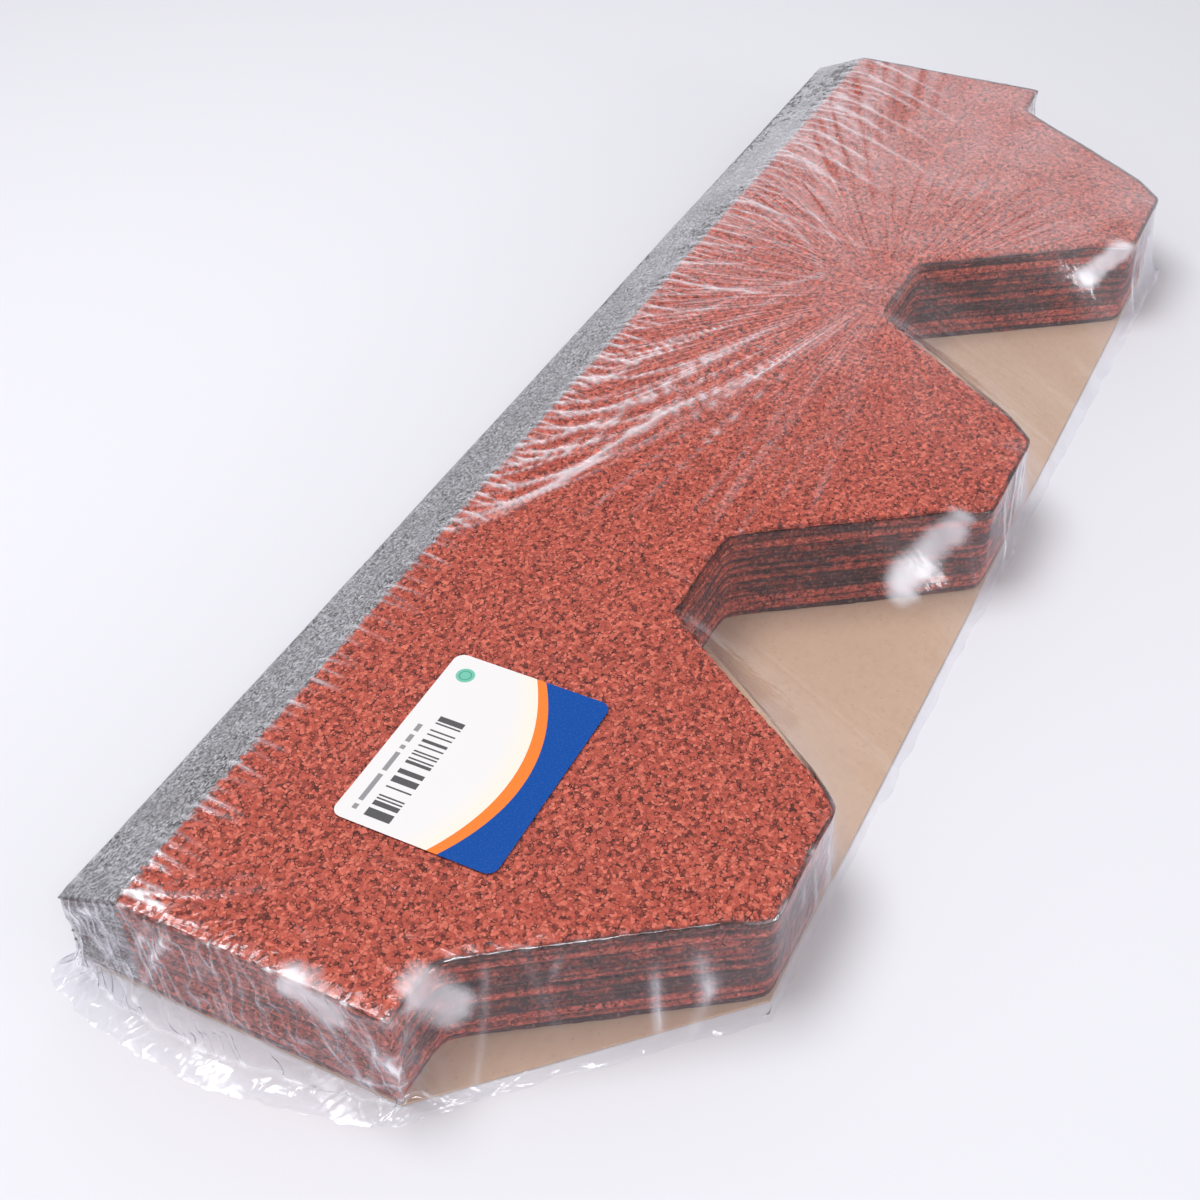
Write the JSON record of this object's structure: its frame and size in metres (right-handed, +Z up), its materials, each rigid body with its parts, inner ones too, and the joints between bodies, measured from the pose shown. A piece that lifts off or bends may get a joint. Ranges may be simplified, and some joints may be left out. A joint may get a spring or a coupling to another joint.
{
  "type": "asphalt shingle bundle",
  "caption": "Film-wrapped bundle of red mineral-faced bitumen roof shingles with hexagonal tabs, on a kraft board and with a paper label.",
  "frame": {"origin": "centre of the bundle's underside", "axes": "+X along the strips, away from the labelled end; the tabs point to -Y; +Z up through the stack"},
  "size_m": [1.0326, 0.3286, 0.0699],
  "materials": {
    "shingle": "brick-red mineral granules on black bitumen, matt",
    "kraft_board": "plain brown kraft board, matt",
    "clear_film": "clear wrinkled polyethylene shrink film, glossy",
    "label_paper": "printed white paper with plain blue and orange fields, satin"
  },
  "bodies": {
    "root": {"shingles_face_up": "shingle", "shingles_face_down": "shingle", "backing_board": "kraft_board", "film_upper_web": "clear_film", "film_lower_web": "clear_film", "label": "label_paper"}
  },
  "joints": []
}
